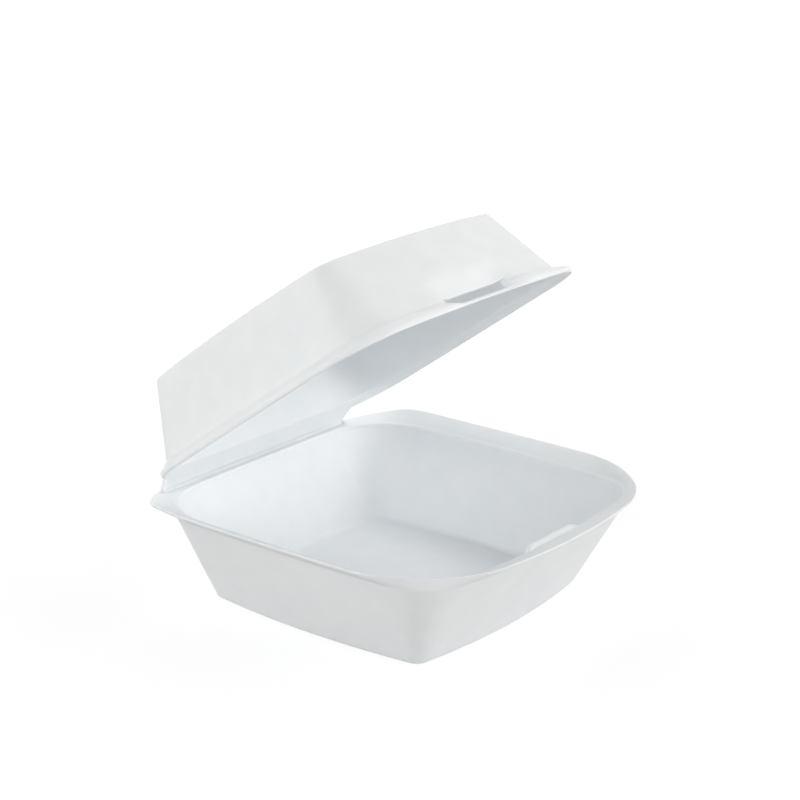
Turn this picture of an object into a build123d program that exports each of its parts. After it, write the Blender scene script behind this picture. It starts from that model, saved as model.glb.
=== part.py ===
from build123d import *
from math import atan2, cos, radians, sin, sqrt, tan
import os

# Foam clamshell container: a square tray and a square lid, pressed from one sheet of
# expanded polystyrene foam and joined by a pressed crease along the back.
# Millimetres. The origin is the middle of the base's underside, +Z is up, the latch is
# at the front (-Y), the crease at the back (+Y) and X runs along the crease.

# Sheet
foam = 2.2               # thickness of floor and lid top
wall = 2.3               # thickness of the flared walls, measured level
brim_foam = 2.35         # thickness of both brims, measured upright

# Base: rim, the outermost outline
rim_half_width = 76.0
rim_front = 81.2
rim_back = 75.0
rim_side_bow = 1.8
rim_front_bow = 11.5
rim_back_bow = 0.6
rim_front_radius = 46.0
rim_back_radius = 34.0
rim_rise = 4.0           # how far the brim climbs from the mouth to the rim
rim_land = 0.4           # narrow level strip on the rim's edge
rim_edge = 1.5           # foam left at the rim, where the brim is pinched

# Base: brim and mouth
base_height = 38.0       # height of the mouth, where wall and brim meet
side_brim = 9.3
front_brim = 10.6
back_brim = 10.0
mouth_side_bow = 1.5
mouth_front_bow = 7.0
mouth_back_bow = 1.0
mouth_front_radius = 19.0
mouth_back_radius = 27.0

# Base: foot, the outline it stands on
foot_side_flare = 13.7   # how far the mouth stands out beyond the foot
foot_front_flare = 17.0
foot_back_flare = 14.4
foot_side_bow = 3.6
foot_front_bow = 4.8
foot_back_bow = 3.0
foot_radius = 5.0
foot_edge_radius = 2.5
floor_edge_radius = 2.5

# Base: the brim droops at the two hinge corners
droop_start = 52.0       # distance behind the middle where the droop begins
droop_fall = 4.6         # how far it has fallen at the crease

# Hinge crease
crease_back = 70.4       # distance of the crease behind the middle
crease_drop = 1.6        # depth of the crease below the mouth
crease_half_length = 54.0
crease_foam = 1.5        # foam left at the crease
crease_gap = 0.1         # play between the two halves of the web
web_end_gap = 0.6        # play between the lid's web and the base's hinge corners

# Lid: seat and brim
lid_overlap = 1.9        # how far the lid's rim stands out beyond the mouth
lid_front_overlap = 2.6
lid_front_ease = 6.0     # how much rounder the lid's front corners are than the mouth's
lid_back_ease = 0.5      # and its back corners
seat_gap = 0.5           # play between the closed lid's rim and the base's brim
lid_brim = 5.5
lid_back_brim = 3.0
lid_brim_rise = 2.9

# Lid: top
lid_height = 35.0        # from the lid's rim to its top
lid_top_half_width = 55.6
lid_top_front = 55.8
lid_top_back = 56.4
lid_top_bow = 5.5
lid_top_radius = 10.0
lid_top_edge_radius = 2.5
ceiling_edge_radius = 2.5
lid_open_angle = 36.0    # how far the lid is raised from closed

# Latch
ridge_length = 36.0
ridge_width = 2.4
ridge_height = 2.2       # above the mouth
ridge_root = 4.0         # depth of its root below the mouth
ridge_inset = 2.2        # how far it stands in from the mouth's edge
ridge_end_radius = 1.1
slot_gap = 0.5           # play between the ridge and the slot, all round
slot_climb = 1.8         # how far the slot opens the foot of the wall
pocket_width = 46.0
pocket_height = 11.5
pocket_depth = 3.0
pocket_slant = 60.0      # lean of the pocket's ends and top, in degrees

# Places that follow from the sizes
rim_height = base_height + rim_rise
brim_slope = rim_rise / side_brim
crease_height = base_height - crease_drop
seat_height = base_height + seat_gap + rim_rise * max(
    lid_overlap / side_brim, lid_front_overlap / front_brim
)
lid_top_height = seat_height + lid_height

rim = (
    rim_half_width, rim_front, rim_back,
    rim_side_bow, rim_front_bow, rim_back_bow,
    rim_front_radius, rim_back_radius,
)
mouth = (
    rim_half_width - side_brim, rim_front - front_brim, rim_back - back_brim,
    mouth_side_bow, mouth_front_bow, mouth_back_bow,
    mouth_front_radius, mouth_back_radius,
)
foot = (
    mouth[0] - foot_side_flare, mouth[1] - foot_front_flare, mouth[2] - foot_back_flare,
    foot_side_bow, foot_front_bow, foot_back_bow,
    foot_radius, foot_radius,
)
lid_rim = (
    mouth[0] + lid_overlap, mouth[1] + lid_front_overlap, mouth[2] + lid_overlap,
    mouth_side_bow, mouth_front_bow, mouth_back_bow,
    mouth_front_radius + lid_front_ease, mouth_back_radius + lid_back_ease,
)
lid_foot = (
    lid_rim[0] - lid_brim, lid_rim[1] - lid_brim, lid_rim[2] - lid_back_brim,
    mouth_side_bow, mouth_front_bow, mouth_back_bow,
    lid_rim[6] - lid_brim, lid_rim[7] - lid_brim,
)
lid_top = (
    lid_top_half_width, lid_top_front, lid_top_back,
    lid_top_bow, lid_top_bow, lid_top_bow,
    lid_top_radius, lid_top_radius,
)


def grown(shape, step):
    """The same outline with every side moved out by step."""
    widths = tuple(size + step for size in shape[:3])
    radii = tuple(size + step for size in shape[6:])
    return widths + shape[3:6] + radii


def between(first, second, share):
    """An outline part of the way from the first to the second."""
    return tuple(a + (b - a) * share for a, b in zip(first, second))


def corner_points(half_width, side_bow, depth, bow, radius):
    """One quarter of an outline, in the quadrant where x and y are positive.

    The side and the end are shallow arcs through (half_width, 0) and (0, depth), each
    bowed out, and the corner is an arc of the given radius inside both and tangent to
    both. The points are the middle of the side's arc, its end, the corner's middle and
    the start of the end's arc.
    """
    side_radius = ((depth - bow) ** 2 + side_bow**2) / (2 * side_bow)
    end_radius = ((half_width - side_bow) ** 2 + bow**2) / (2 * bow)
    side_centre = Vector(half_width - side_radius, 0)
    end_centre = Vector(0, depth - end_radius)
    apart = end_centre - side_centre
    along = apart.normalized()
    across = Vector(-along.Y, along.X)
    near, far = side_radius - radius, end_radius - radius
    run = (near**2 - far**2 + apart.length**2) / (2 * apart.length)
    offset_across = sqrt(near**2 - run**2)
    choices = [side_centre + along * run + across * (offset_across * way) for way in (1, -1)]
    centre = max(choices, key=lambda point: point.X + point.Y)
    side_end = side_centre + (centre - side_centre).normalized() * side_radius
    end_start = end_centre + (centre - end_centre).normalized() * end_radius
    outward = ((side_end - centre).normalized() + (end_start - centre).normalized()).normalized()
    half_turn = atan2(side_end.Y, side_end.X - side_centre.X) / 2
    side_middle = side_centre + Vector(cos(half_turn), sin(half_turn)) * side_radius
    return side_middle, side_end, centre + outward * radius, end_start


def bowed_outline(shape):
    """A face with four bowed sides and four round corners, on the current sketch."""
    half_width, front, back, side_bow, front_bow, back_bow, front_radius, back_radius = shape
    backs = corner_points(half_width, side_bow, back, back_bow, back_radius)
    fronts = corner_points(half_width, side_bow, front, front_bow, front_radius)

    def place(point, x_way, y_way):
        return (point.X * x_way, point.Y * y_way)

    with BuildLine() as loop:
        for x_way in (1, -1):
            for quarter, y_way in ((backs, 1), (fronts, -1)):
                side_middle, side_end, corner, end_start = (place(p, x_way, y_way) for p in quarter)
                ThreePointArc((half_width * x_way, 0), side_middle, side_end)
                ThreePointArc(side_end, corner, end_start)
        ThreePointArc(place(backs[3], 1, 1), (0, back), place(backs[3], -1, 1))
        ThreePointArc(place(fronts[3], 1, -1), (0, -front), place(fronts[3], -1, -1))
    make_face(loop.edges())


def side_profile(*points):
    """A face on the current sketch through points given as (distance back, height)."""
    with BuildLine() as loop:
        Polyline(*points, close=True)
    make_face(loop.edges())


def lid_place(angle):
    """Where the closed lid's own frame lies once it is raised about the crease."""
    crease = Location((0, crease_back, crease_height))
    turn = Location((0, 0, 0), (-angle, 0, 0))
    return crease * turn * crease.inverse()


# Droop: the strip of foam under the bent-down hinge corners of the brim
droop_run = crease_back - droop_start
droop_slope = droop_fall / droop_run
droop_end = rim_back + 5
droop_end_height = rim_height - droop_slope * (droop_end - droop_start)

with BuildPart() as droop:
    with BuildSketch(Plane.XY.offset(crease_height - 8)):
        bowed_outline(rim)
    extrude(amount=rim_height - crease_height + 8)
    with BuildSketch(Plane.YZ):
        side_profile(
            (droop_start, rim_height - rim_edge),
            (droop_start, rim_height),
            (droop_end, droop_end_height),
            (droop_end, droop_end_height - rim_edge),
        )
    extrude(amount=rim_half_width + 1, both=True, mode=Mode.INTERSECT)


# Base
wall_top = base_height - brim_foam + wall * brim_slope
floor_share = foam / wall_top
floor_outline = grown(between(foot, grown(mouth, wall), floor_share), -wall)
web_root = base_height - brim_foam

with BuildPart() as base:
    # outside of the walls, underside of the brim and the rim's edge
    with BuildSketch(Plane.XY):
        bowed_outline(foot)
    with BuildSketch(Plane.XY.offset(wall_top)):
        bowed_outline(grown(mouth, wall))
    loft(ruled=True)
    with BuildSketch(Plane.XY.offset(wall_top)):
        bowed_outline(grown(mouth, wall))
    with BuildSketch(Plane.XY.offset(rim_height - rim_edge)):
        bowed_outline(rim)
    loft(ruled=True)
    with BuildSketch(Plane.XY.offset(rim_height - rim_edge)):
        bowed_outline(rim)
    extrude(amount=rim_edge)
    fillet(base.edges().filter_by_position(Axis.Z, -0.01, 0.01), foot_edge_radius)

    # base's half of the hinge web, in place of the brim between the hinge corners
    add(droop.part)
    with BuildSketch(Plane.YZ):
        side_profile(
            (mouth[2] - mouth_back_bow, web_root),
            (mouth[2] - mouth_back_bow, rim_height + 1),
            (droop_end, rim_height + 1),
            (droop_end, web_root - crease_drop - 4),
            (crease_back, web_root - crease_drop - 4),
            (mouth[2] + wall, web_root),
        )
    extrude(amount=crease_half_length, both=True, mode=Mode.SUBTRACT)
    with BuildSketch(Plane.YZ):
        side_profile(
            (mouth[2] - 4, web_root),
            (mouth[2] - 4, base_height),
            (mouth[2], base_height),
            (crease_back, crease_height),
            (crease_back, crease_height - crease_foam),
            (mouth[2] + wall, web_root),
        )
    extrude(amount=crease_half_length, both=True)

    # inside of the tray and top of the brim
    with BuildSketch(Plane.XY.offset(foam)):
        bowed_outline(floor_outline)
    with BuildSketch(Plane.XY.offset(base_height)):
        bowed_outline(mouth)
    loft(ruled=True, mode=Mode.SUBTRACT)
    with BuildSketch(Plane.XY.offset(base_height)):
        bowed_outline(mouth)
    with BuildSketch(Plane.XY.offset(rim_height)):
        bowed_outline(grown(rim, -rim_land))
    loft(ruled=True, mode=Mode.SUBTRACT)
    fillet(base.edges().filter_by_position(Axis.Z, foam - 0.01, foam + 0.01), floor_edge_radius)
    split(
        bisect_by=Plane(
            origin=(0, droop_start, rim_height),
            x_dir=(1, 0, 0),
            z_dir=(0, droop_slope, 1),
        ),
        keep=Keep.BOTTOM,
    )

    # locking ridge in the middle of the front
    with BuildSketch(Plane.XY.offset(base_height - ridge_root)):
        with Locations((0, ridge_inset - ridge_width / 2 - mouth[1])):
            RectangleRounded(ridge_length, ridge_width, ridge_end_radius)
    extrude(amount=ridge_root + ridge_height)

base.part.label = "base"


# Lid, drawn closed in its own frame, which is then raised about the crease
lid_frame = Plane(lid_place(lid_open_angle))
lid_side = Plane(origin=lid_frame.origin, x_dir=lid_frame.y_dir, z_dir=lid_frame.x_dir)
brim_top = seat_height + brim_foam + lid_brim_rise
lid_web_half = crease_half_length - web_end_gap
web_reach = 8.0          # how far the web runs in over the brim, to meet its round corners
ceiling_height = lid_top_height - foam
wall_height = lid_top_height - brim_top
ceiling_share = 1 - foam / wall_height
ceiling_outline = grown(between(lid_foot, lid_top, ceiling_share), -wall)
front_lean = (lid_foot[1] - lid_top[1]) / wall_height
slot_front = mouth[1] - ridge_inset + ridge_width + slot_gap
slot_back = mouth[1] - ridge_inset - slot_gap
slot_length = ridge_length + 2 * slot_gap
pocket_outset = 1.0      # how far before the wall the pocket's shape is begun
pocket_lean = tan(radians(pocket_slant))
pocket_mouth = Plane(
    origin=lid_frame.from_local_coords((0, -lid_foot[1], brim_top)),
    x_dir=lid_frame.x_dir,
    z_dir=lid_frame.z_dir * front_lean - lid_frame.y_dir,
)


def pocket_face(height):
    """The scoop's outline at a height over the front wall, running down past the brim."""
    top = pocket_height + pocket_lean * height
    with Locations((0, -top / 2)):
        Rectangle(pocket_width + 2 * pocket_lean * height, 3 * top)


def edges_at(piece, height):
    """The edges of a piece that lie at one height in the lid's own frame."""
    return [
        edge for edge in piece.edges()
        if abs(lid_frame.to_local_coords(edge.center()).Z - height) < 0.01
    ]


# Pocket: the scoop in the front wall, and the foam behind it
with BuildPart() as pocket:
    with BuildSketch(pocket_mouth.offset(pocket_outset)):
        pocket_face(pocket_outset)
    extrude(amount=-(pocket_depth + pocket_outset), taper=pocket_slant)
    split(bisect_by=lid_frame.offset(brim_top), keep=Keep.TOP)

with BuildPart() as pocket_back:
    with BuildSketch(pocket_mouth.offset(-wall / 2)):
        pocket_face(wall / 2)
    extrude(amount=-(pocket_depth + wall / 2), taper=pocket_slant)
    split(bisect_by=lid_frame.offset(brim_top), keep=Keep.TOP)

with BuildPart() as lid:
    # rim's edge, top of the brim and outside of the walls
    with BuildSketch(lid_frame.offset(seat_height)):
        bowed_outline(lid_rim)
    extrude(amount=brim_foam)
    with BuildSketch(lid_frame.offset(seat_height + brim_foam)):
        bowed_outline(lid_rim)
    with BuildSketch(lid_frame.offset(brim_top)):
        bowed_outline(lid_foot)
    loft(ruled=True)
    with BuildSketch(lid_frame.offset(brim_top)):
        bowed_outline(lid_foot)
    with BuildSketch(lid_frame.offset(lid_top_height)):
        bowed_outline(lid_top)
    loft(ruled=True)

    # lid's half of the hinge web
    with BuildSketch(lid_side):
        side_profile(
            (lid_rim[2] - web_reach, seat_height),
            (lid_rim[2], seat_height),
            (crease_back, crease_height + crease_gap),
            (crease_back, crease_height + crease_gap + crease_foam),
            (lid_rim[2], seat_height + brim_foam),
            (lid_rim[2] - web_reach, seat_height + brim_foam),
        )
    extrude(amount=lid_web_half, both=True)

    # inside of the lid and underside of the brim
    with BuildSketch(lid_frame.offset(seat_height)):
        bowed_outline(grown(lid_rim, -rim_land))
    with BuildSketch(lid_frame.offset(seat_height + lid_brim_rise)):
        bowed_outline(grown(lid_foot, -wall))
    loft(ruled=True, mode=Mode.SUBTRACT)
    with BuildSketch(lid_frame.offset(seat_height + lid_brim_rise)):
        bowed_outline(grown(lid_foot, -wall))
    with BuildSketch(lid_frame.offset(ceiling_height)):
        bowed_outline(ceiling_outline)
    loft(ruled=True, mode=Mode.SUBTRACT)

    # rounded edges of the top, outside and inside
    fillet(edges_at(lid, lid_top_height), lid_top_edge_radius)
    fillet(edges_at(lid, ceiling_height), ceiling_edge_radius)

    # pocket in the front wall, and the slot under it
    add(pocket_back.part)
    add(pocket.part, mode=Mode.SUBTRACT)
    with BuildSketch(lid_side):
        side_profile(
            (-slot_front, seat_height - 1),
            (-slot_front, brim_top + 1),
            (-slot_back, brim_top + slot_climb),
            (pocket_depth - lid_foot[1] + wall, brim_top + slot_climb),
            (pocket_depth - lid_foot[1] + wall, seat_height + lid_brim_rise),
            (-slot_back, seat_height - 1),
        )
    extrude(amount=slot_length / 2, both=True, mode=Mode.SUBTRACT)

lid.part.label = "lid"


os.makedirs("parts", exist_ok=True)
export_step(base.part, "parts/base.step")
export_step(lid.part, "parts/lid.step")
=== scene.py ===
import math

import bpy
import numpy as np
from mathutils import Matrix, Vector


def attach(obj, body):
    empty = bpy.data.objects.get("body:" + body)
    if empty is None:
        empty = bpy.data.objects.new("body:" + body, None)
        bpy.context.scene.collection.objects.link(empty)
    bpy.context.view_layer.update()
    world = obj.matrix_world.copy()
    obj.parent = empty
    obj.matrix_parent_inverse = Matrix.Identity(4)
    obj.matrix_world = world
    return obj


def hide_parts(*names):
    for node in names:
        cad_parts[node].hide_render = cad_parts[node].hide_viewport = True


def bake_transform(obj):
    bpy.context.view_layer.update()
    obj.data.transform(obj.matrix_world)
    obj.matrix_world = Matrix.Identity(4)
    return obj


# Foam clamshell container, thermoformed from one sheet of expanded polystyrene foam.
# Lengths are in millimetres until a mesh is written, which turns them to metres. Only
# the floor and the lamps are placed in metres.
MM = 0.001

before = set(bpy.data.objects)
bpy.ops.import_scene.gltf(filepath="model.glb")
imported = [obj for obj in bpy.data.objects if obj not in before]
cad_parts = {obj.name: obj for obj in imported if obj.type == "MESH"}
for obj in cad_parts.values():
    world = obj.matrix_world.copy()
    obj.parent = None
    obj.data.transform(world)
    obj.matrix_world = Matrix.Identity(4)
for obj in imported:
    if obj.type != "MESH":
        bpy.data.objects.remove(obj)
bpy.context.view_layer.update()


# Sizes that the construction model has too

FOAM = 2.2                              # floor and lid top
WALL = 2.3                              # flared walls, measured level
BRIM_FOAM = 2.35                        # brims, measured upright
RIM_EDGE = 1.5                          # foam left at the base's rim
BASE_HEIGHT = 38.0                      # height of the mouth
RIM_HEIGHT = 42.0
CREASE_Y, CREASE_Z = 70.4, 36.4
CREASE_HALF = 54.0                      # half the length of the crease
CREASE_FOAM = 1.5
CREASE_GAP = 0.1                        # play between the two halves of the web
DROOP_START, DROOP_FALL = 52.0, 4.6     # the brim falls from here to the crease by this much
SEAT = 39.48                            # height of the closed lid's rim
LID_BRIM_RISE = 2.9
LID_HEIGHT = 35.0
LID_OPEN = math.radians(36.0)
RIDGE_HALF = 18.0
RIDGE_BACK, RIDGE_FRONT = 68.4, 70.8
RIDGE_ROOT = 4.0                        # how far down the wall the ridge's back runs
SLOT_FRONT, SLOT_HALF, SLOT_CLIMB = 71.3, 18.5, 1.8
POCKET_HALF, POCKET_HEIGHT, POCKET_DEPTH = 23.0, 11.5, 3.0
POCKET_SLANT = math.radians(60.0)

# Outlines: half width, front, back, side bow, front bow, back bow, front and back radius
RIM = np.array([76.0, 81.2, 75.0, 1.8, 11.5, 0.6, 46.0, 34.0])
MOUTH = np.array([66.7, 70.6, 65.0, 1.5, 7.0, 1.0, 19.0, 27.0])
FOOT = np.array([53.0, 53.6, 50.6, 3.6, 4.8, 3.0, 5.0, 5.0])
LID_RIM = np.array([68.6, 73.2, 66.9, 1.5, 7.0, 1.0, 25.0, 27.5])
LID_FOOT = np.array([63.1, 67.7, 63.9, 1.5, 7.0, 1.0, 19.5, 22.0])
LID_TOP = np.array([55.6, 55.8, 56.4, 5.5, 5.5, 5.5, 10.0, 10.0])

BRIM_TOP = SEAT + BRIM_FOAM + LID_BRIM_RISE
LID_TOP_HEIGHT = SEAT + LID_HEIGHT
CEILING = LID_TOP_HEIGHT - FOAM


# Sizes of the small details that only this scene draws

RIM_UNDERCUT = 0.9                      # the cut edge leans in beneath
RIDGE_HEIGHT, RIDGE_TAPER = 1.6, 6.0    # drawn lower than the solid one, with soft ends
RIDGE_LEAN = 0.3                        # the foot of the ridge's front stands this far out
GROOVE_DEPTH, GROOVE_WIDTH = 0.25, 3.0  # a shallow line pressed in the brim round the mouth
LIP_DROP, LIP_PRESS = 1.5, 0.8          # the wall stands back a little under the mouth's edge
DROOP_ROUNDING = 1.2
POCKET_EDGE, POCKET_SOFTNESS = 1.0, 6.5 # its folds start this far outside it and are soft
POCKET_START, POCKET_RISE = 0.2, 3.2    # it comes in from here above the rim's underside, over this

# Ends of the hinge web: how far past the crease's end each part of it stops, and its ramp
BASE_WEB_END, UNDER_WEB_END, LID_WEB_END = (1.6, 1.8), (4.0, 8.0), (0.6, 2.2)
GROOVE_END = (12.0, 12.0)

# Radii of the profiles' corners
INNER_CORNER, OUTER_CORNER = 2.8, 2.5   # round the base's floor, and its foot and the lid's top
LIP_ROUNDING, LIP_ROUNDING_AT_RIDGE = 1.2, 2.0
MOUTH_ROUNDING, RIDGE_ROUNDING = 1.0, 0.9
RIM_ROUNDING, LID_RIM_ROUNDING, CREASE_ROUNDING = 0.72, 1.1, 0.3
UNDER_BRIM, LID_UNDER_BRIM, LID_BRIM_CORNER = 1.6, 1.2, 1.0


def grown(shape, step):
    """The same outline with every side moved out by step."""
    return shape + step * np.array([1, 1, 1, 0, 0, 0, 1, 1])


def smooth_step(value):
    """0 below 0, 1 above 1, and the cubic 3v^2 - 2v^3 between."""
    v = np.clip(value, 0, 1)
    return v * v * (3 - 2 * v)


def smooth_min(a, b, width):
    """The lower of two surfaces, with the fold between them rounded over width."""
    gap = np.clip(0.5 + 0.5 * (b - a) / width, 0, 1)
    return b * (1 - gap) + a * gap - width * gap * (1 - gap)


def mixed(plain, other, share):
    """plain where share is 0, other where it is 1, and plain + (other - plain) share between."""
    return plain + (other - plain) * share


def unit(vectors):
    """Vectors at length 1."""
    return vectors / np.linalg.norm(vectors, axis=-1, keepdims=True)


def directions(angle):
    """Unit vectors (cos, sin) at an angle or at each of many."""
    return np.stack([np.cos(angle), np.sin(angle)], axis=-1)


# Outlines

SIDE_STEPS, END_STEPS, ARC_STEPS = 24, 16, 6
LOCKED, LOCKED_STEPS = 26.0, 52      # the middle of each end keeps its lines at the same x
CORNER_SHARES = np.concatenate([     # closer where the hinge web ends
    np.linspace(0, 0.64, 16)[:-1], np.linspace(0.64, 0.84, 25)[:-1], np.linspace(0.84, 1, 7),
])


def quarter(half_width, side_bow, depth, bow, radius):
    """One quarter of an outline, from (half_width, 0) to (0, depth).

    A side arc and an end arc, each through its middle and bowed out, are joined by a
    corner arc of the given radius, inside both and tangent to both. The corner's centre
    is where circles of side radius less radius and end radius less radius cross.
    """
    side_radius = ((depth - bow) ** 2 + side_bow**2) / (2 * side_bow)
    end_radius = ((half_width - side_bow) ** 2 + bow**2) / (2 * bow)
    side_centre = np.array([half_width - side_radius, 0.0])
    end_centre = np.array([0.0, depth - end_radius])
    apart = end_centre - side_centre
    length = np.hypot(*apart)
    along = apart / length
    across = np.array([-along[1], along[0]])
    near, far = side_radius - radius, end_radius - radius
    run = (near**2 - far**2 + length**2) / (2 * length)
    rise = math.sqrt(near**2 - run**2)
    centre = max(
        (side_centre + along * run + across * rise * way for way in (1, -1)),
        key=lambda point: point[0] + point[1],
    )
    to_side = math.atan2(centre[1] - side_centre[1], centre[0] - side_centre[0])
    to_end = math.atan2(centre[1] - end_centre[1], centre[0] - end_centre[0])
    side = side_centre + side_radius * directions(np.linspace(0, to_side, SIDE_STEPS + 1)[:-1])
    corner = centre + radius * directions(mixed(to_side, to_end, CORNER_SHARES[:-1]))
    x = np.concatenate([
        np.linspace(end_radius * math.cos(to_end), LOCKED, END_STEPS + 1)[:-1],
        np.linspace(LOCKED, 0, LOCKED_STEPS + 1),
    ])
    end = np.column_stack([x, end_centre[1] + np.sqrt(end_radius**2 - x**2)])
    return np.concatenate([side, corner, end])


def outline(shape, height):
    """A closed loop of points at one height: four quarters, counter-clockwise from +X."""
    half_width, front, back, side_bow, front_bow, back_bow, front_radius, back_radius = shape
    behind = quarter(half_width, side_bow, back, back_bow, back_radius)
    ahead = quarter(half_width, side_bow, front, front_bow, front_radius)
    loop = np.concatenate([
        behind,
        behind[-2:0:-1] * [-1, 1],
        ahead * [-1, -1],
        ahead[-2:0:-1] * [1, -1],
    ])
    return np.column_stack([loop, np.full(len(loop), float(height))])


def centre_of(loop):
    """A ring that shrinks a loop to the middle, at its own height."""
    return np.column_stack([np.zeros((len(loop), 2)), loop[:, 2]])


def over_web(loop, past, ramp):
    """1 along the hinge web and 0 from past beyond its ends, with a smooth ramp between."""
    return smooth_step((CREASE_HALF + past - np.abs(loop[:, 0])) / ramp) * (loop[:, 1] > 0)


def crease_line(loop, height):
    """The points of a loop moved straight back or forth to the crease, at one height."""
    return np.column_stack([loop[:, 0], np.full(len(loop), CREASE_Y), np.full(len(loop), height)])


# Profiles

CORNER_SHARE = 0.46                  # the most of a run that one corner's arc may take
LEAST_REACH = 1e-4                   # keeps an arc's two ends apart
NEARLY_STRAIGHT = 0.02               # radians; an arc that turns less is drawn as a line


def rounded_path(keys, radii, runs):
    """Carries one profile round the outline: keys joined by straight runs and round corners.

    keys is (corners, points, 3). Each inner corner is replaced by an arc of its radius,
    tangent to both runs, found from the half angle between them: the arc starts at
    radius / tan(half angle) from the corner, and its points are the ends' mix by the
    sines of what is left and what is done of its sweep. runs gives each run's number of
    steps, or its list of shares from 0 to 1. The smallest limits only keep zeros out of
    the divisions.
    """
    rows, arcs, starts, ends = [], [], [keys[0]], []
    for index in range(1, len(keys) - 1):
        before = keys[index - 1] - keys[index]
        after = keys[index + 1] - keys[index]
        before_length = np.linalg.norm(before, axis=1, keepdims=True)
        after_length = np.linalg.norm(after, axis=1, keepdims=True)
        before, after = before / before_length, after / after_length
        half = np.arccos(np.clip((before * after).sum(1, keepdims=True), -1, 1)) / 2
        radius = np.broadcast_to(np.reshape(radii[index - 1], (-1, 1)), half.shape)
        longest = CORNER_SHARE * np.minimum(before_length, after_length)
        reach = np.maximum(np.minimum(radius / np.tan(half), longest), LEAST_REACH)
        middle = before + after
        middle = middle / np.maximum(np.linalg.norm(middle, axis=1, keepdims=True), 1e-9)
        centre = keys[index] + middle * reach / np.maximum(np.cos(half), 1e-6)
        first = keys[index] + before * reach
        last = keys[index] + after * reach
        sweep = np.pi - 2 * half
        share = np.linspace(0, 1, ARC_STEPS + 1)[:, None, None]
        swept = centre + (np.sin((1 - share) * sweep) * (first - centre)
                          + np.sin(share * sweep) * (last - centre)) / np.maximum(np.sin(sweep), 1e-6)
        arcs.append(np.where(sweep > NEARLY_STRAIGHT, swept, mixed(first, last, share)))
        ends.append(first)
        starts.append(last)
    ends.append(keys[-1])
    for index, run in enumerate(runs):
        shares = np.linspace(0, 1, run + 1) if np.isscalar(run) else np.asarray(run)
        stretch = mixed(starts[index], ends[index], shares[:, None, None])
        rows.append(stretch if index == 0 else stretch[1:])
        if index < len(arcs):
            rows.append(arcs[index][1:])
    return np.concatenate(rows)


# Meshes

def add_object(name, data):
    """A new object in the scene that shows data."""
    thing = bpy.data.objects.new(name, data)
    bpy.context.scene.collection.objects.link(thing)
    return thing


def write_mesh(name, points, quads, triangles):
    """A mesh object from points in millimetres, smooth shaded, with quads and triangles."""
    mesh = bpy.data.meshes.new(name)
    loops = np.concatenate([quads.ravel(), triangles.ravel()])
    sizes = np.concatenate([np.full(len(quads), 4), np.full(len(triangles), 3)])
    begins = np.concatenate([[0], np.cumsum(sizes)[:-1]])
    mesh.vertices.add(len(points))
    mesh.vertices.foreach_set("co", (points * MM).astype(np.float32).ravel())
    mesh.loops.add(len(loops))
    mesh.loops.foreach_set("vertex_index", loops.astype(np.int32))
    mesh.polygons.add(len(sizes))
    mesh.polygons.foreach_set("loop_start", begins.astype(np.int32))
    mesh.polygons.foreach_set("use_smooth", np.ones(len(sizes), bool))
    mesh.update(calc_edges=True)
    mesh.validate()
    return add_object(name, mesh)


def shell_faces(rings, points, keep=None):
    """Quads between neighbouring rings of a closed loop, less those that keep leaves out."""
    ring, point = np.meshgrid(np.arange(rings - 1), np.arange(points), indexing="ij")
    after = (point + 1) % points
    quads = np.stack([
        ring * points + point,
        ring * points + after,
        (ring + 1) * points + after,
        (ring + 1) * points + point,
    ], axis=-1)
    return quads[keep] if keep is not None else quads.reshape(-1, 4)


def shell_piece(name, rings, faces=shell_faces):
    """A closed piece whose first and last rings are drawn together to one point each.

    faces gives the quads between the other rings; triangles join these to the points.
    """
    count, points = rings.shape[0] - 2, rings.shape[1]
    body = rings[1:-1].reshape(-1, 3)
    verts = np.concatenate([body, [rings[0].mean(0), rings[-1].mean(0)]])
    here = np.arange(points)
    after = (here + 1) % points
    last = (count - 1) * points
    first_cap = np.column_stack([np.full(points, len(body)), after, here])
    last_cap = np.column_stack([np.full(points, len(body) + 1), last + here, last + after])
    return write_mesh(name, verts, faces(count, points), np.concatenate([first_cap, last_cap]))


# Base

BASE_STEPS = [10, 24, 4, 2, 3, 8, 2, 8, 24, 10]      # of each run, from the floor's middle


def mouth_edge(floor, mouth, rim):
    """Four points of the base's profile round the mouth, and the ridge's share at each place.

    From inside: lip, back, front and foot. Over the ridge's length they are the ridge's
    section. Elsewhere the lip lies LIP_DROP down the wall and LIP_PRESS into it, the
    back is the mouth's edge, and front and foot lie on the brim, half a groove and a
    whole groove up it, with the front dipped by the groove's depth. The groove fades
    out towards the hinge web.
    """
    down_wall, up_brim = unit(floor - mouth), unit(rim - mouth)
    x = mouth[:, 0]
    ridge = smooth_step((RIDGE_HALF - np.abs(x)) / RIDGE_TAPER) * (mouth[:, 1] < 0)
    ridge_top = np.full(len(x), BASE_HEIGHT + RIDGE_HEIGHT)
    back_top = np.column_stack([x, np.full(len(x), -RIDGE_BACK), ridge_top])
    front_top = np.column_stack([x, np.full(len(x), -RIDGE_FRONT), ridge_top])
    # how far up the brim the ridge's front meets it; the limits hold away from the ridge
    out = np.clip((RIDGE_FRONT + RIDGE_LEAN + mouth[:, 1]) / np.maximum(-up_brim[:, 1], 0.1), 0, 3)
    into_wall = np.column_stack([-unit(down_wall[:, :2]), np.zeros(len(x))])
    groove = 1 - over_web(rim, *GROOVE_END)
    dip = np.column_stack([np.zeros((len(x), 2)), GROOVE_DEPTH * groove])
    plain = np.stack([
        mouth + down_wall * LIP_DROP + into_wall * LIP_PRESS,
        mouth,
        mouth + up_brim * GROOVE_WIDTH / 2 - dip,
        mouth + up_brim * GROOVE_WIDTH,
    ])
    standing = np.stack([mouth + down_wall * RIDGE_ROOT, back_top, front_top, mouth + up_brim * out[:, None]])
    return mixed(plain, standing, ridge[:, None]), ridge


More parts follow.
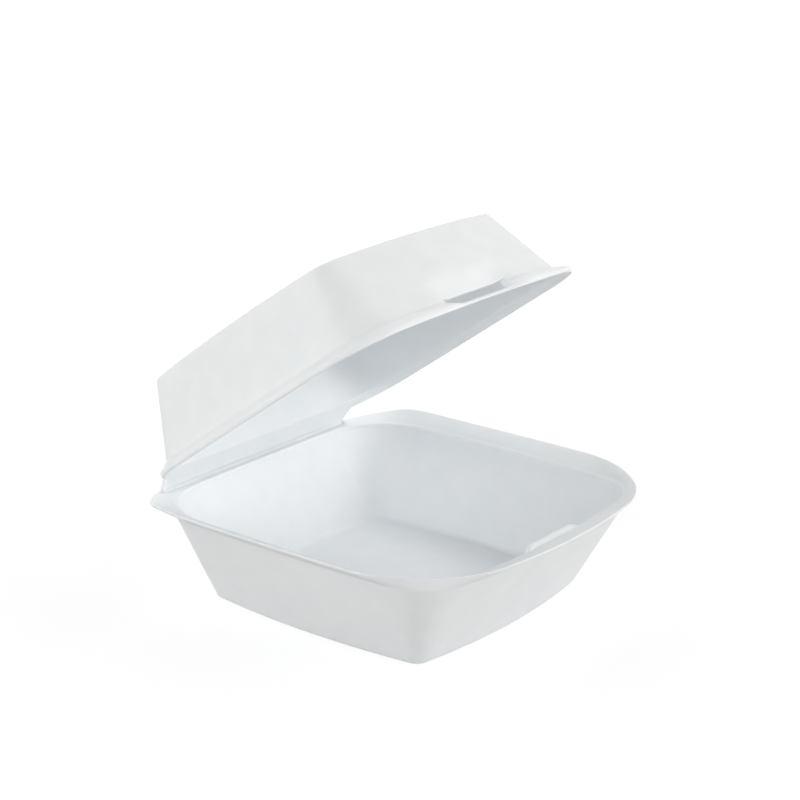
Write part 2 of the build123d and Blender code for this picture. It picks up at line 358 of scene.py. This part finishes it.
def base_rings():
    """The base's profile carried round its outline.

    From the middle of the floor: floor, inner wall, mouth, brim, rim edge, underside of
    the brim, outer wall, foot and underside. Behind, the rim is drawn in to the crease
    over the web's width, and it droops towards the hinge corners.
    """
    slope = (RIM_HEIGHT - BASE_HEIGHT) / (RIM[0] - MOUTH[0])
    wall_top = BASE_HEIGHT - BRIM_FOAM + WALL * slope
    outer_mouth = grown(MOUTH, WALL)
    inner_foot = grown(mixed(FOOT, outer_mouth, FOAM / wall_top), -WALL)

    floor = outline(inner_foot, FOAM)
    mouth = outline(MOUTH, BASE_HEIGHT)
    rim = outline(RIM, RIM_HEIGHT)
    under = outline(outer_mouth, wall_top)
    foot = outline(FOOT, 0.0)

    fall = DROOP_FALL / (CREASE_Y - DROOP_START)
    droop = RIM_HEIGHT - fall * (rim[:, 1] - DROOP_START)
    rim[:, 2] = smooth_min(rim[:, 2], droop, DROOP_ROUNDING)
    rim_foot = outline(grown(RIM, -RIM_UNDERCUT), 0.0)
    rim_foot[:, 2] = rim[:, 2] - RIM_EDGE
    web = over_web(rim, *BASE_WEB_END)
    rim = mixed(rim, crease_line(rim, CREASE_Z), web[:, None])
    rim_foot = mixed(rim_foot, crease_line(rim, CREASE_Z - CREASE_FOAM), web[:, None])
    under[:, 2] -= over_web(under, *UNDER_WEB_END) * (WALL * slope)

    edge_points, ridge = mouth_edge(floor, mouth, rim)
    keys = np.stack([centre_of(floor), floor, *edge_points, rim, rim_foot, under, foot, centre_of(foot)])
    edge = mixed(RIM_ROUNDING, CREASE_ROUNDING, web)
    radii = [
        INNER_CORNER,
        mixed(LIP_ROUNDING, LIP_ROUNDING_AT_RIDGE, ridge), mixed(MOUTH_ROUNDING, RIDGE_ROUNDING, ridge),
        RIDGE_ROUNDING, RIDGE_ROUNDING, edge, edge, UNDER_BRIM, OUTER_CORNER,
    ]
    return rounded_path(keys, radii, BASE_STEPS)


base_piece = shell_piece("foam_base", base_rings())


# Lid

# Shares of each run of the lid's profile at which a ring lies. Rings lie on the slot's
# edges, and as many lie between them outside as inside.
SLOT_WALL_STEPS, SLOT_BRIM_STEPS = 3, 6
SLOT_RINGS = SLOT_WALL_STEPS + ARC_STEPS + SLOT_BRIM_STEPS
ALONG_WALL = np.linspace(0, 1, 22) ** 1.3      # closer where the pocket is
WALL_SLOT = (BRIM_FOAM + SLOT_CLIMB) / (LID_HEIGHT - FOAM - LID_BRIM_RISE)
UNDER_SLOT = (SLOT_FRONT - LID_FOOT[1] + WALL) / (LID_RIM[1] - LID_FOOT[1] + WALL)
BRIM_SLOT = (LID_RIM[1] - SLOT_FRONT) / (LID_RIM[1] - LID_FOOT[1])
CLIMB_SLOT = SLOT_CLIMB / (LID_TOP_HEIGHT - BRIM_TOP)
LID_RUNS = {
    "ceiling": np.linspace(0, 1, 11),
    "inner wall": np.concatenate([
        (1 - WALL_SLOT) * (1 - ALONG_WALL[::-1]),
        np.linspace(1 - WALL_SLOT, 1, SLOT_WALL_STEPS + 1)[1:],
    ]),
    "under brim": np.concatenate([
        np.linspace(0, UNDER_SLOT, SLOT_BRIM_STEPS + 1), [(1 + UNDER_SLOT) / 2, 1],
    ]),
    "rim": np.linspace(0, 1, 3),
    "brim": np.concatenate([[0, BRIM_SLOT / 2], np.linspace(BRIM_SLOT, 1, SLOT_BRIM_STEPS + 1)]),
    "outer wall": np.concatenate([
        np.linspace(0, CLIMB_SLOT, SLOT_WALL_STEPS + 1),
        CLIMB_SLOT + (1 - CLIMB_SLOT) * ALONG_WALL[1:],
    ]),
    "top": np.linspace(0, 1, 11),
}


def lid_row(run, step):
    """The number of the ring at one step of a run, without the lid's first ring, a point."""
    before = list(LID_RUNS).index(run)
    return sum(len(shares) - 1 + ARC_STEPS for shares in list(LID_RUNS.values())[:before]) + step - 1


def lid_rings():
    """The lid's profile carried round its outline, drawn closed.

    From the middle of the ceiling: ceiling, inner wall, underside of the brim, rim edge,
    top of the brim, outer wall and top. Behind, the rim runs down to the crease.
    """
    wall_height = LID_TOP_HEIGHT - BRIM_TOP
    inner_top = grown(mixed(LID_FOOT, LID_TOP, 1 - FOAM / wall_height), -WALL)

    ceiling = outline(inner_top, CEILING)
    inner = outline(grown(LID_FOOT, -WALL), SEAT + LID_BRIM_RISE)
    rim = outline(LID_RIM, SEAT)
    rim_top = outline(LID_RIM, SEAT + BRIM_FOAM)
    brim = outline(LID_FOOT, BRIM_TOP)
    top = outline(LID_TOP, LID_TOP_HEIGHT)

    web = over_web(rim, *LID_WEB_END)
    crease_foot = CREASE_Z + CREASE_GAP
    rim = mixed(rim, crease_line(rim, crease_foot), web[:, None])
    rim_top = mixed(rim_top, crease_line(rim, crease_foot + CREASE_FOAM), web[:, None])

    keys = np.stack([centre_of(ceiling), ceiling, inner, rim, rim_top, brim, top, centre_of(top)])
    edge = mixed(LID_RIM_ROUNDING, CREASE_ROUNDING, web)
    radii = [OUTER_CORNER, LID_UNDER_BRIM, edge, edge, LID_BRIM_CORNER, OUTER_CORNER]
    return rounded_path(keys, radii, LID_RUNS.values())


def pocketed(points):
    """Presses the latch pocket into the lid's front wall, outside and inside alike.

    Depth is full in the middle of the pocket and falls to nothing over the slanted ends
    and top, each by the same smooth ramp; it goes along the wall's normal.
    """
    lean = (LID_FOOT[1] - LID_TOP[1]) / (LID_TOP_HEIGHT - BRIM_TOP)
    scale = math.hypot(1, lean)
    ramp = POCKET_DEPTH * math.tan(POCKET_SLANT) + POCKET_SOFTNESS
    climb = (points[..., 2] - BRIM_TOP) * scale
    across = smooth_step((POCKET_HALF + POCKET_EDGE - np.abs(points[..., 0])) / ramp)
    along = smooth_step((POCKET_HEIGHT + POCKET_EDGE - climb) / ramp)
    low = smooth_step((points[..., 2] - (SEAT + POCKET_START)) / POCKET_RISE)
    depth = POCKET_DEPTH * across * along * low * (points[..., 1] < 0)
    moved = points.copy()
    moved[..., 1] += depth / scale
    moved[..., 2] -= depth * lean / scale
    return moved


def raised(points):
    """Points of the closed lid turned up about the crease by the opening angle."""
    y, z = points[..., 1] - CREASE_Y, points[..., 2] - CREASE_Z
    turned = points.copy()
    turned[..., 1] = CREASE_Y + y * math.cos(LID_OPEN) + z * math.sin(LID_OPEN)
    turned[..., 2] = CREASE_Z - y * math.sin(LID_OPEN) + z * math.cos(LID_OPEN)
    return turned


def slotted(rings, points):
    """Quads of the lid's shell with the latch slot cut through the foam.

    The quads between the slot's edges are left out, outside and inside, and the two
    openings are joined by one band of quads round the slot, from each edge point
    outside to its partner inside.
    """
    across = outline(LID_RIM, SEAT)
    slack = 0.01
    columns = np.flatnonzero((np.abs(across[:, 0]) < SLOT_HALF + slack) & (across[:, 1] < 0))
    left, right = columns[0], columns[-1]
    inside_high = lid_row("inner wall", len(ALONG_WALL) - 1)
    inside_low = lid_row("under brim", SLOT_BRIM_STEPS)
    outside_low = lid_row("brim", 2)
    outside_high = lid_row("outer wall", SLOT_WALL_STEPS)
    keep = np.ones((rings - 1, points), bool)
    keep[inside_high:inside_low, left:right] = False
    keep[outside_low:outside_high, left:right] = False

    step = np.arange(SLOT_RINGS)
    run = np.arange(left, right)
    up = np.stack([outside_low + step, inside_low - step], axis=-1)
    ends = []
    for column in (left, right):
        ends.append(np.column_stack([up * points + column, (up[:, ::-1] + [-1, 1]) * points + column]))
    for outer, inner in ((outside_low, inside_low), (outside_high, inside_high)):
        ends.append(np.column_stack([
            outer * points + run, outer * points + run + 1,
            inner * points + run + 1, inner * points + run,
        ]))
    return np.concatenate([shell_faces(rings, points, keep)] + ends)


lid_piece = shell_piece("foam_lid", raised(pocketed(lid_rings())), slotted)


# Hinge crease

CREASE = np.array([CREASE_Y, CREASE_Z])
CREASE_INSET = 0.7                   # the two pieces end this far inside the crease's ends
CREASE_STATIONS, BULGE_POINTS, FILLET_POINTS = 61, 25, 17
CREASE_OVERLAP = 0.05                # each profile is closed this far beyond the crease
BULGE_RADIUS = CREASE_FOAM - 0.08    # just inside the ends of the two webs
FILLET_RADIUS, WEB_OVERLAP = 1.2, math.radians(4)
# Angles at the crease, in the (y, z) plane, of the base's web and of the raised lid's
BASE_WEB = math.atan2(BASE_HEIGHT - CREASE_Z, MOUTH[2] - CREASE_Y)
LID_WEB = math.atan2(SEAT + LID_BRIM_RISE - CREASE_Z, LID_FOOT[2] - WALL - CREASE_Y) - LID_OPEN
WEB_MIDDLE, WEB_HALF = (BASE_WEB + LID_WEB) / 2, (BASE_WEB - LID_WEB) / 2


def prism(profile):
    """Rings of one closed (y, z) profile along the crease, shrunk to a point at both ends."""
    end = CREASE_HALF - CREASE_INSET
    x = np.linspace(-end, end, CREASE_STATIONS)
    shape = (len(x), len(profile))
    rings = np.stack([
        np.broadcast_to(x[:, None], shape),
        np.broadcast_to(profile[:, 0], shape),
        np.broadcast_to(profile[:, 1], shape),
    ], axis=-1)
    return np.concatenate([rings[:1], rings, rings[-1:]])


def crease_bulge():
    """The bent foam behind the crease: a fan about the crease line, at one radius.

    It runs from the base's end face, pointing down, round the back to the lid's.
    """
    ring = directions(np.linspace(-np.pi / 2, np.pi / 2 - LID_OPEN, BULGE_POINTS)) * BULGE_RADIUS
    return prism(CREASE + np.concatenate([[[-CREASE_OVERLAP, 0]], ring]))


def crease_fillet():
    """The foam in the fold's inner corner: an arc that runs out into both webs.

    It is tangent to the two webs, each turned a little into its foam. The arc's centre
    is on the line half way between them, at radius / sin(half angle) from the crease;
    the profile is closed just behind the crease.
    """
    half = WEB_HALF + WEB_OVERLAP
    centre = FILLET_RADIUS / math.sin(half) * directions(WEB_MIDDLE)
    turn = WEB_MIDDLE + np.pi + np.linspace(1, -1, FILLET_POINTS) * (np.pi / 2 - half)
    arc = centre + FILLET_RADIUS * directions(turn)
    return prism(CREASE + np.concatenate([[[CREASE_OVERLAP, 0]], arc]))


bulge = shell_piece("pressed_crease", crease_bulge())
fillet = shell_piece("crease_fillet", crease_fillet())
pieces = (base_piece, lid_piece, bulge, fillet)


def outward(piece):
    """Turns every face of a closed piece outwards."""
    bpy.context.view_layer.objects.active = piece
    for other in bpy.context.selected_objects:
        other.select_set(False)
    piece.select_set(True)
    bpy.ops.object.mode_set(mode="EDIT")
    bpy.ops.mesh.select_all(action="SELECT")
    bpy.ops.mesh.normals_make_consistent(inside=False)
    bpy.ops.object.mode_set(mode="OBJECT")


for piece in pieces:
    outward(piece)

# the slot's cut edges are a little rounded
soften = lid_piece.modifiers.new("cut_edges", "BEVEL")
soften.width = 0.3 * MM
soften.segments = 2
soften.limit_method = "ANGLE"
soften.angle_limit = math.radians(50)


# Materials

def linear(hex_colour):
    """An sRGB hex colour as linear red, green, blue and full alpha."""
    channels = [int(hex_colour[i:i + 2], 16) / 255 for i in (1, 3, 5)]
    return (*(c / 12.92 if c <= 0.04045 else ((c + 0.055) / 1.055) ** 2.4 for c in channels), 1.0)


def add_node(tree, kind, inputs=None, links=None, **settings):
    """Adds a node, sets its settings and inputs, and links its inputs to other outputs."""
    node = tree.nodes.new(kind)
    for name, value in settings.items():
        setattr(node, name, value)
    for name, value in (inputs or {}).items():
        node.inputs[name].default_value = value
    for name, output in (links or {}).items():
        tree.links.new(output, node.inputs[name])
    return node


CELL_SIZE = 0.9                      # three times the real cells, see foam_skin
MOTTLE_SIZE, SWELL_SIZE = 9.0, 30.0
LIGHT_SPREAD = 0.6


def foam_skin():
    """Thermoformed polystyrene foam: chalk white, matt, with a closed skin over fine cells.

    The cells of the sheet are about 0.3 mm, too fine to show at 0.4 mm to a pixel, so
    they are drawn three times as coarse. A mottle of some 9 mm is the uneven density of
    the foam, and a swell of some 30 mm is what the mould leaves of the sheet's waves.
    Light spreads some 0.6 mm within the foam, which softens its edges a little.
    """
    material = bpy.data.materials.new("thermoformed_polystyrene_foam")
    material.use_nodes = True
    tree = material.node_tree
    shader = tree.nodes["Principled BSDF"]
    at = {"Vector": add_node(tree, "ShaderNodeTexCoord").outputs["Object"]}
    cells = add_node(tree, "ShaderNodeTexVoronoi", {"Scale": 1 / (CELL_SIZE * MM)}, at)
    density = add_node(tree, "ShaderNodeTexNoise", {"Scale": 1 / (MOTTLE_SIZE * MM), "Detail": 3.0}, at)
    waves = add_node(tree, "ShaderNodeTexNoise", {"Scale": 1 / (SWELL_SIZE * MM), "Detail": 1.0}, at)
    mottle = add_node(tree, "ShaderNodeMapRange", {"From Min": 0.3, "From Max": 0.7},
                      {"Value": density.outputs["Fac"]})
    # inputs 0, 6 and 7 of a colour mix are its share and its two colours, output 2 the result
    colour = add_node(tree, "ShaderNodeMix", {6: linear("#F2F5F8"), 7: linear("#F5F8FB")},
                      {0: mottle.outputs["Result"]}, data_type="RGBA")
    pits = add_node(tree, "ShaderNodeBump", {"Strength": 0.18, "Distance": 0.1 * MM},
                    {"Height": cells.outputs["Distance"]})
    swell = add_node(tree, "ShaderNodeBump", {"Strength": 0.12, "Distance": 0.5 * MM},
                     {"Height": waves.outputs["Fac"], "Normal": pits.outputs["Normal"]})
    tree.links.new(colour.outputs[2], shader.inputs["Base Color"])
    tree.links.new(swell.outputs["Normal"], shader.inputs["Normal"])
    shader.inputs["Roughness"].default_value = 0.6
    shader.inputs["IOR"].default_value = 1.45
    shader.inputs["Subsurface Weight"].default_value = 1.0
    shader.inputs["Subsurface Radius"].default_value = (1.0, 1.0, 1.0)
    shader.inputs["Subsurface Scale"].default_value = LIGHT_SPREAD * MM
    return material


foam = foam_skin()
for piece in pieces:
    piece.data.materials.append(foam)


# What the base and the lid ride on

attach(base_piece, "base")
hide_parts("base")
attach(lid_piece, "lid")
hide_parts("lid")


def blend_across(piece):
    """Bakes the piece's placement into its mesh; no blend from the base to the lid is made.
    """
    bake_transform(piece)


blend_across(bulge)
blend_across(fillet)


# Floor and world, in metres

FLOOR_HALF = 3.0
FLOOR_COLOUR, FLOOR_GLOW = "#D8D8D8", 1.24
FLOOR_WHITE = 0.65                       # how much of the plain white shows near the container
FLOOR_NEAR, FLOOR_FAR = 0.15, 0.6        # the rest comes in between these distances from it
AMBIENT = 0.05


def seen_directly(tree):
    """1 for rays of the camera, and for those that mirror or pass on the view; else 0."""
    path = add_node(tree, "ShaderNodeLightPath").outputs
    either = add_node(tree, "ShaderNodeMath", {}, {0: path["Is Camera Ray"], 1: path["Is Glossy Ray"]},
                      operation="MAXIMUM")
    return add_node(tree, "ShaderNodeMath", {}, {0: either.outputs[0], 1: path["Is Transmission Ray"]},
                    operation="MAXIMUM").outputs[0]


def pale_floor():
    """A plain floor under the container, which a camera sees as white with a soft shadow.

    Other rays meet a pale grey sheet. The camera, and what mirrors or clear things show,
    sees most of it as plain white and the rest as the lit sheet, which keeps the shadow.
    """
    mesh = bpy.data.meshes.new("floor")
    corners = [(x * FLOOR_HALF, y * FLOOR_HALF, 0) for x, y in ((-1, -1), (1, -1), (1, 1), (-1, 1))]
    mesh.from_pydata(corners, [], [(0, 1, 2, 3)])
    floor = add_object("floor", mesh)
    material = bpy.data.materials.new("white_paper_sweep")
    material.use_nodes = True
    tree = material.node_tree
    shader = tree.nodes["Principled BSDF"]
    shader.inputs["Base Color"].default_value = linear(FLOOR_COLOUR)
    shader.inputs["Roughness"].default_value = 0.9
    white = add_node(tree, "ShaderNodeEmission", {"Color": (1, 1, 1, 1), "Strength": FLOOR_GLOW})
    place = add_node(tree, "ShaderNodeTexCoord").outputs["Object"]
    away = add_node(tree, "ShaderNodeVectorMath", {}, {0: place}, operation="LENGTH")
    plain = add_node(
        tree, "ShaderNodeMapRange",
        {"From Min": FLOOR_NEAR, "From Max": FLOOR_FAR, "To Min": FLOOR_WHITE, "To Max": 1.0},
        {"Value": away.outputs["Value"]},
    )
    share = add_node(tree, "ShaderNodeMath", {}, {0: seen_directly(tree), 1: plain.outputs["Result"]},
                     operation="MULTIPLY")
    mix = add_node(tree, "ShaderNodeMixShader", {}, {
        0: share.outputs[0], 1: shader.outputs["BSDF"], 2: white.outputs["Emission"],
    })
    tree.links.new(mix.outputs[0], tree.nodes["Material Output"].inputs["Surface"])
    floor.data.materials.append(material)


def studio_world():
    """A faint even light all round, which a camera sees as plain white."""
    world = bpy.data.worlds.new("studio")
    bpy.context.scene.world = world
    world.use_nodes = True
    tree = world.node_tree
    background = tree.nodes["Background"]
    background.inputs["Color"].default_value = (1, 1, 1, 1)
    brightness = add_node(tree, "ShaderNodeMapRange", {"To Min": AMBIENT, "To Max": 1.0},
                          {"Value": seen_directly(tree)})
    tree.links.new(brightness.outputs["Result"], background.inputs["Strength"])


pale_floor()
studio_world()


# Lamps, in metres

# Soft boxes round the container: name, azimuth and elevation in degrees, and power.
# Azimuth 0 is in front and 90 to the right.
LAMPS = (
    ("left_box", -68, 22, 9.6),
    ("back_left_box", -130, 27, 8.0),
    ("right_front_box", 27, 20, 10.8),
    ("low_front_box", 20, 5, 6.0),
    ("high_right_box", 74, 45, 5.6),
    ("back_right_box", 135, 30, 6.0),
    ("back_box", 180, 40, 4.7),
)
LAMP_SIZE, LAMP_DISTANCE = 0.9, 1.6
LAMP_TARGET = Vector((0, 0, 0.05))


def seen_from(azimuth, elevation):
    """The unit vector towards a viewer or a lamp at an azimuth and elevation in radians."""
    return Vector((
        math.sin(azimuth) * math.cos(elevation),
        -math.cos(azimuth) * math.cos(elevation),
        math.sin(elevation),
    ))


def soft_box(name, towards, power):
    """A square area lamp in one direction from the container, facing it."""
    data = bpy.data.lights.new(name, "AREA")
    data.size = LAMP_SIZE
    data.energy = power
    lamp = add_object(name, data)
    lamp.location = LAMP_TARGET + towards * LAMP_DISTANCE
    lamp.rotation_mode = "QUATERNION"
    lamp.rotation_quaternion = towards.to_track_quat("Z", "Y")


for name, azimuth, elevation, power in LAMPS:
    soft_box(name, seen_from(math.radians(azimuth), math.radians(elevation)), power)


# Camera, fitted to the photo's outlines

CAMERA_AZIMUTH, CAMERA_ELEVATION, CAMERA_ROLL = (math.radians(a) for a in (-52.28, 18.39, 0.70))
CAMERA_DISTANCE = 828.93
CAMERA_TARGET = Vector((27.81, 20.36, 63.68))
FOCAL_LENGTH, PICTURE_WIDTH = 2146.7, 800      # in pixels
SENSOR_WIDTH = 36.0


def photo_camera():
    """The camera: back points to it from its target, and right and up are turned by its roll."""
    back = seen_from(CAMERA_AZIMUTH, CAMERA_ELEVATION)
    right = Vector((math.cos(CAMERA_AZIMUTH), math.sin(CAMERA_AZIMUTH), 0))
    up = back.cross(right)
    turned_right = right * math.cos(CAMERA_ROLL) + up * math.sin(CAMERA_ROLL)
    turned_up = up * math.cos(CAMERA_ROLL) - right * math.sin(CAMERA_ROLL)
    camera = add_object("camera", bpy.data.cameras.new("camera"))
    camera.data.sensor_width = SENSOR_WIDTH
    camera.data.lens = FOCAL_LENGTH / PICTURE_WIDTH * SENSOR_WIDTH
    camera.rotation_mode = "QUATERNION"
    camera.rotation_quaternion = Matrix((turned_right, turned_up, back)).transposed().to_quaternion()
    camera.location = (CAMERA_TARGET + back * CAMERA_DISTANCE) * MM
    return camera


bpy.context.scene.camera = photo_camera()
bpy.context.scene.view_settings.view_transform = "Standard"
